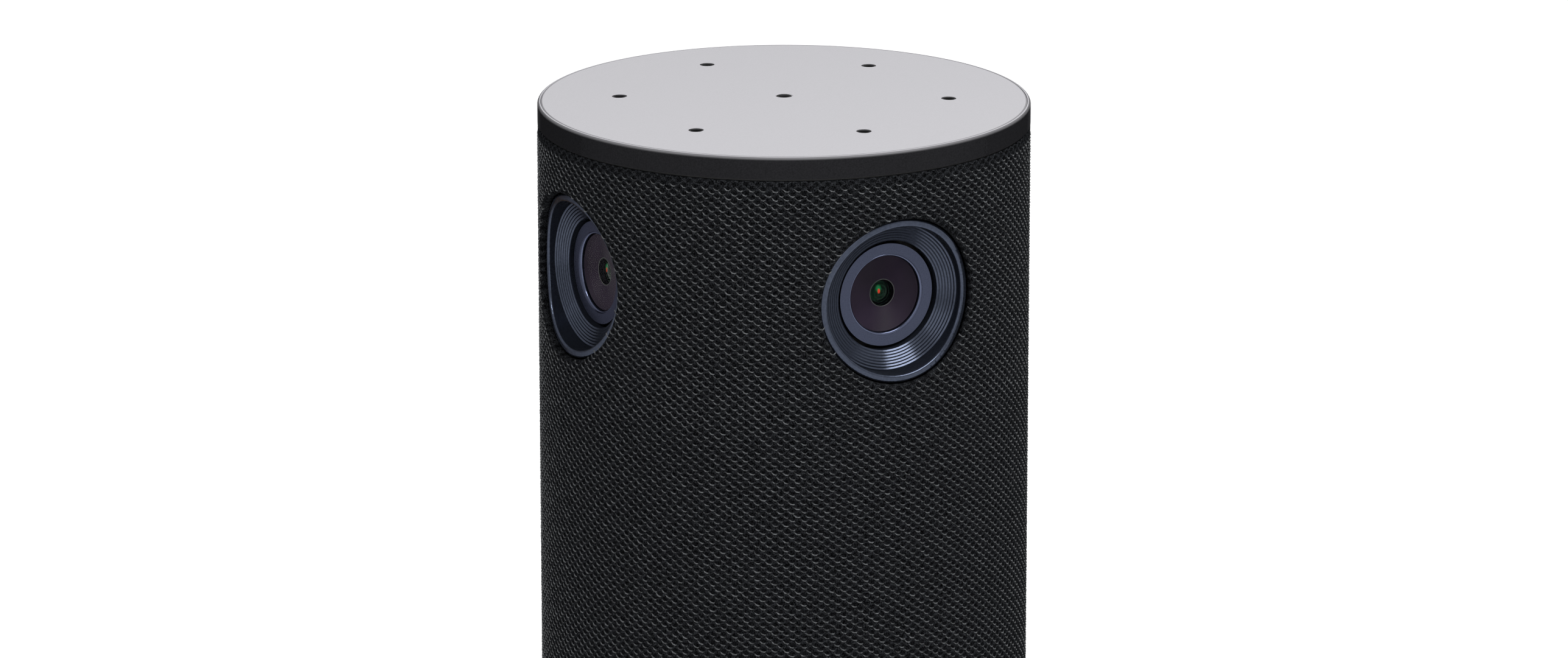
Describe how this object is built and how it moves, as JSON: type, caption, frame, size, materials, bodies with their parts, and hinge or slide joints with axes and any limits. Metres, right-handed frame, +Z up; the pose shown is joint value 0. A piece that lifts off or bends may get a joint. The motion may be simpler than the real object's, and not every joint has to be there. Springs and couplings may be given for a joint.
{
  "type": "panoramic conference camera",
  "caption": "Round table-top conference tower with lenses facing every way, top microphones, a fabric-covered loudspeaker and control buttons on its base.",
  "frame": {"origin": "middle of the footprint, on the table under the foot ring", "axes": "+Z up along the tower, -Y towards the front lens and the buttons, +X towards the right lens"},
  "size_m": [0.108, 0.108, 0.275],
  "materials": {
    "top_disc": "satin, bead blasted and anodised",
    "black_band": "satin gloss moulded",
    "woven_fabric": "coarse woven acoustic cloth",
    "bezel_plastic": "satin moulded",
    "barrel_metal": "satin anodised",
    "cover_glass": "polished, printed black behind",
    "lens_glass": "coated",
    "inner_plastic": "moulded",
    "circuit_board": "solder mask",
    "chip_black": "moulded epoxy",
    "ribbon_film": "polyimide film",
    "bare_aluminium": "extruded",
    "steel": "zinc plated",
    "screw_black": "black oxide",
    "ferrite": "sintered",
    "paper_cone": "pressed paper",
    "soft_rubber": "moulded",
    "foam": "closed cell foam",
    "spider_cloth": "impregnated cloth",
    "brass": "turned",
    "button_plastic": "satin moulded"
  },
  "bodies": {
    "root": {"top_plate": "top_disc", "top_rim": "black_band", "mic_gasket": "foam", "mic_board": "circuit_board", "mic_capsules": "chip_black", "fabric_sleeve": "woven_fabric", "grille_tube": "inner_plastic", "camera_carrier": "inner_plastic", "core_frame": "inner_plastic", "main_board": "circuit_board", "heat_sink": "bare_aluminium", "speaker_tub": "inner_plastic", "speaker_baffle": "inner_plastic", "speaker_basket": "steel", "front_washer": "steel", "magnet_ring": "ferrite", "pole_yoke": "steel", "speaker_surround": "soft_rubber", "speaker_spider": "spider_cloth", "base_housing": "black_band", "keypad_mat": "soft_rubber", "button_board": "circuit_board", "port_board": "circuit_board", "usb_sockets": "steel", "base_cover": "inner_plastic", "foot_ring": "soft_rubber", "ballast_plate": "steel", "tripod_insert": "brass", "sensor_ribbons": "ribbon_film", "mic_ribbon": "ribbon_film", "base_ribbon": "ribbon_film", "case_screws": "screw_black", "tie_screws": "screw_black", "board_screws": "steel", "lens_bezel_front": "bezel_plastic", "lens_barrel_front": "barrel_metal", "cover_glass_front": "cover_glass", "front_element_front": "lens_glass", "sensor_board_front": "circuit_board", "lens_bezel_left": "bezel_plastic", "lens_barrel_left": "barrel_metal", "cover_glass_left": "cover_glass", "front_element_left": "lens_glass", "sensor_board_left": "circuit_board", "lens_bezel_back": "bezel_plastic", "lens_barrel_back": "barrel_metal", "cover_glass_back": "cover_glass", "front_element_back": "lens_glass", "sensor_board_back": "circuit_board", "lens_bezel_right": "bezel_plastic", "lens_barrel_right": "barrel_metal", "cover_glass_right": "cover_glass", "front_element_right": "lens_glass", "sensor_board_right": "circuit_board"},
    "power_button": {"power_button": "button_plastic"},
    "volume_down_button": {"volume_down_button": "button_plastic"},
    "mute_button": {"mute_button": "button_plastic"},
    "volume_up_button": {"volume_up_button": "button_plastic"},
    "view_button": {"view_button": "button_plastic"},
    "cone": {"speaker_cone": "paper_cone"}
  },
  "joints": [
    {"name": "power_press", "type": "slide", "parent": "root", "child": "power_button", "axis": [0, 1, 0], "range_m": [0, 0.0008], "stiffness_N_per_m": 500, "deforming": ["keypad_mat"]},
    {"name": "volume_down_press", "type": "slide", "parent": "root", "child": "volume_down_button", "axis": [0, 1, 0], "range_m": [0, 0.0008], "stiffness_N_per_m": 500, "deforming": ["keypad_mat"]},
    {"name": "mute_press", "type": "slide", "parent": "root", "child": "mute_button", "axis": [0, 1, 0], "range_m": [0, 0.0008], "stiffness_N_per_m": 500, "deforming": ["keypad_mat"]},
    {"name": "volume_up_press", "type": "slide", "parent": "root", "child": "volume_up_button", "axis": [0, 1, 0], "range_m": [0, 0.0008], "stiffness_N_per_m": 500, "deforming": ["keypad_mat"]},
    {"name": "view_press", "type": "slide", "parent": "root", "child": "view_button", "axis": [0, 1, 0], "range_m": [0, 0.0008], "stiffness_N_per_m": 500, "deforming": ["keypad_mat"]},
    {"name": "cone_stroke", "type": "slide", "parent": "root", "child": "cone", "axis": [0, 0, 1], "range_m": [-0.0015, 0.0015], "stiffness_N_per_m": 1500, "deforming": ["speaker_surround", "speaker_spider"]}
  ]
}
